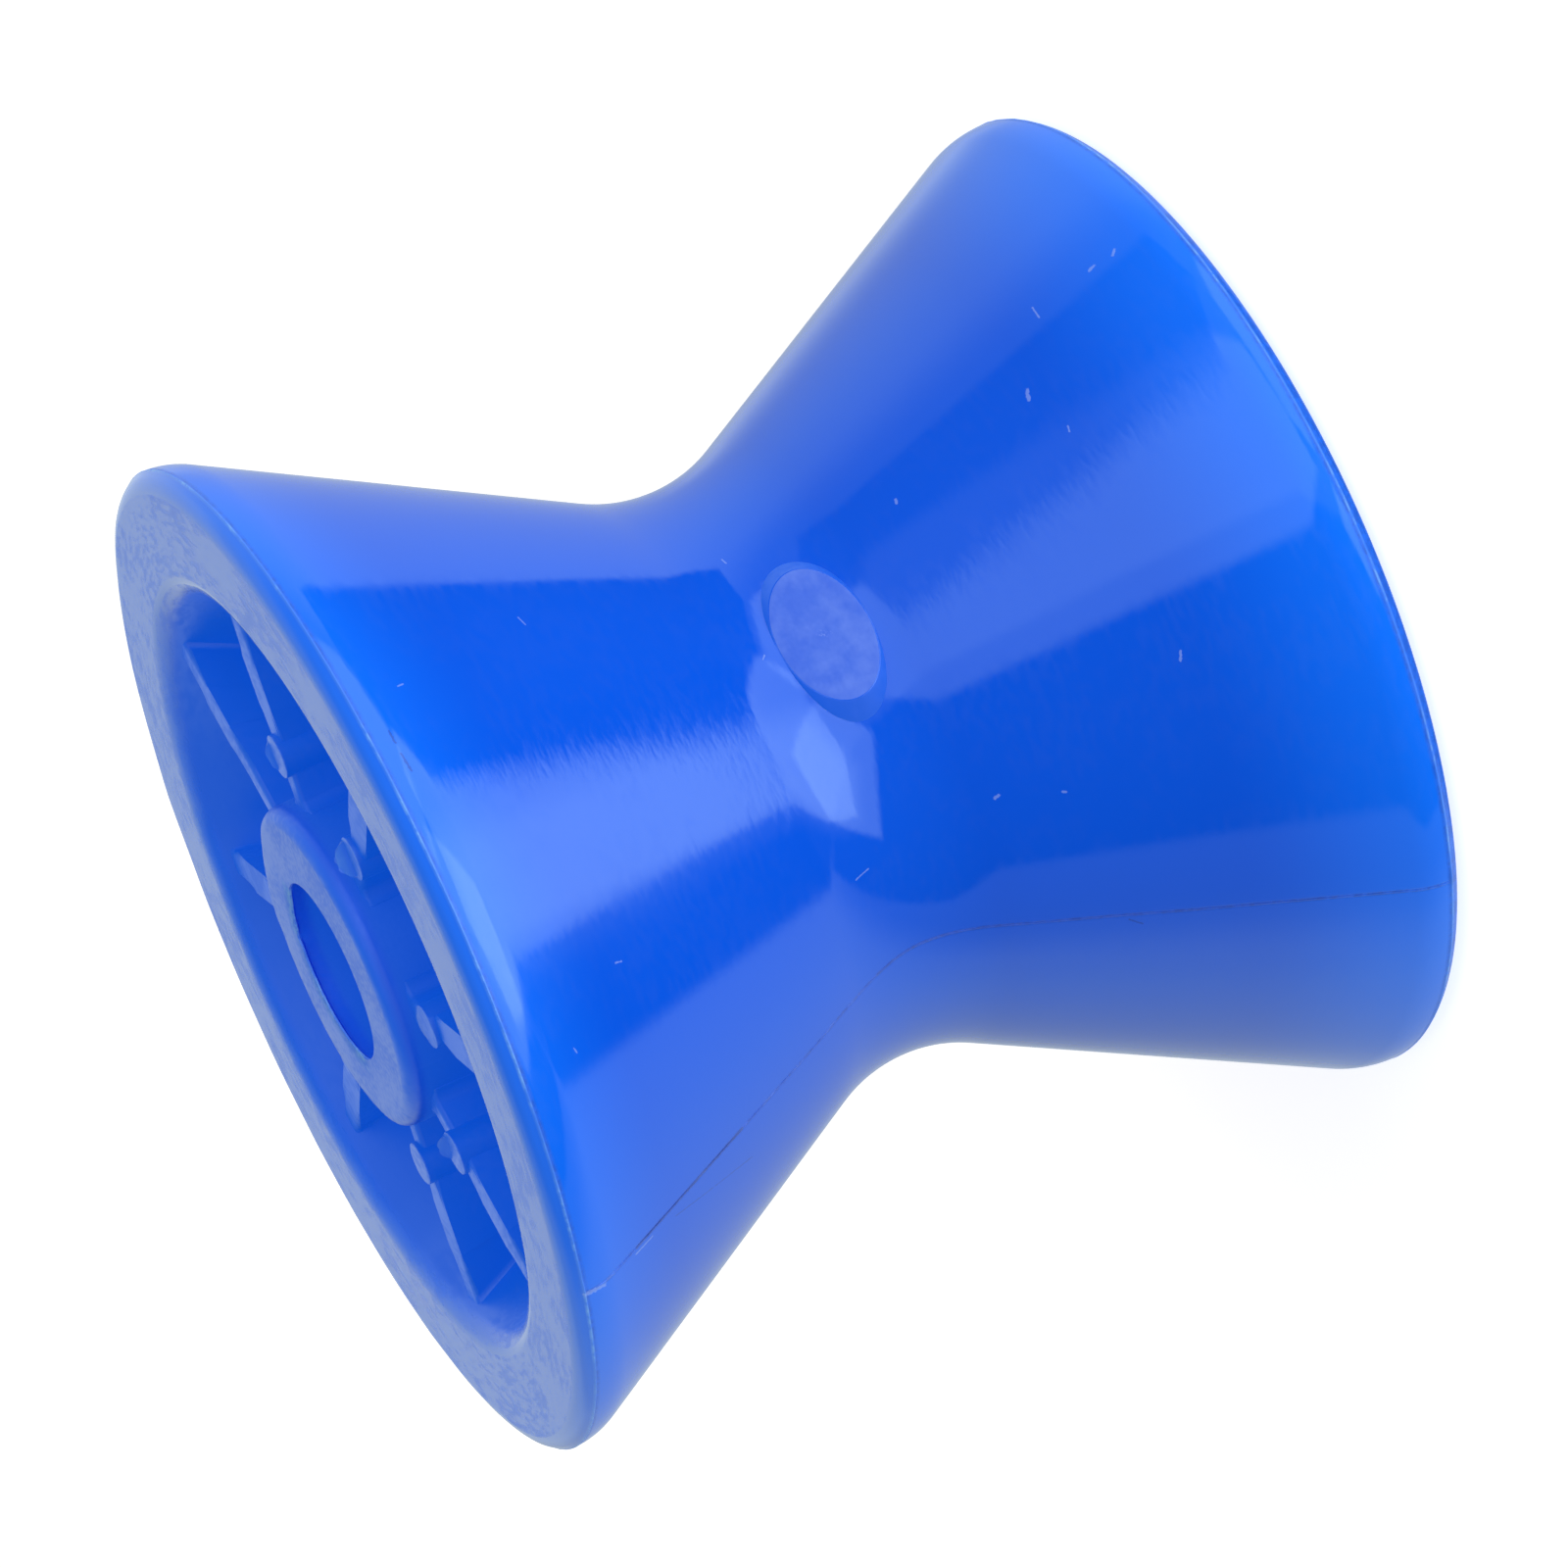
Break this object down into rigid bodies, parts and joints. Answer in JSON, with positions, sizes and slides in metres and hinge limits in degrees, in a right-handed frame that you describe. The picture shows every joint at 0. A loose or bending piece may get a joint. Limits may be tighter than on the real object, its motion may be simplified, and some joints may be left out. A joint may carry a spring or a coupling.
{
  "type": "boat trailer roller",
  "caption": "V-shaped moulded plastic keel roller for a boat trailer, with ribbed hollow ends and a plain through bore for its shaft.",
  "frame": {"origin": "centre of the bore, half way between the rim faces", "axes": "+Z along the bore axis, towards the end that the picture shows; +X towards a mould parting line"},
  "size_m": [0.0804, 0.0804, 0.0758],
  "materials": {
    "roller_plastic": "gloss"
  },
  "bodies": {
    "root": {"roller": "roller_plastic"}
  },
  "joints": []
}
